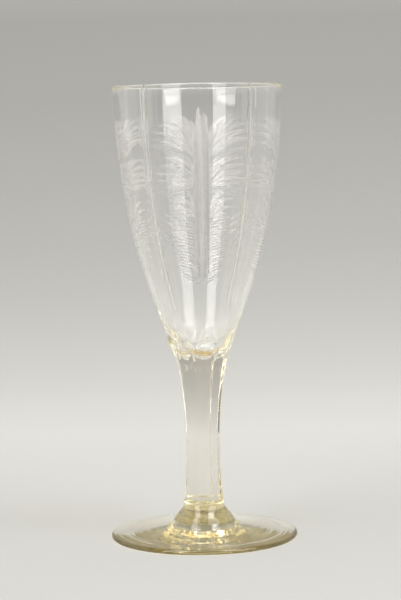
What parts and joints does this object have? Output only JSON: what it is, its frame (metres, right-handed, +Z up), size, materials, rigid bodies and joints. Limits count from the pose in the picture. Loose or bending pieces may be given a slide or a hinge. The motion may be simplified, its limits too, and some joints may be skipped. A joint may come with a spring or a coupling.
{
  "type": "stemmed glass goblet",
  "caption": "Tall four-lobed glass goblet with matt engraved leaf panels on a faceted waisted stem, round boss and spread foot.",
  "frame": {"origin": "centre of the foot's resting plane", "axes": "+Z up along the goblet's axis, -Y through the middle of one of the bowl's four lobes"},
  "size_m": [0.0744, 0.0744, 0.18],
  "materials": {
    "bowl_glass": "clear with a pale straw tint, wheel-engraved matt panels",
    "stem_glass": "clear, cut in flat facets and polished",
    "boss_glass": "clear straw-coloured, fire-polished",
    "foot_glass": "clear straw-coloured, fire-polished, polished pontil mark below"
  },
  "bodies": {
    "root": {"bowl": "bowl_glass", "stem": "stem_glass", "boss": "boss_glass", "foot": "foot_glass"}
  },
  "joints": []
}
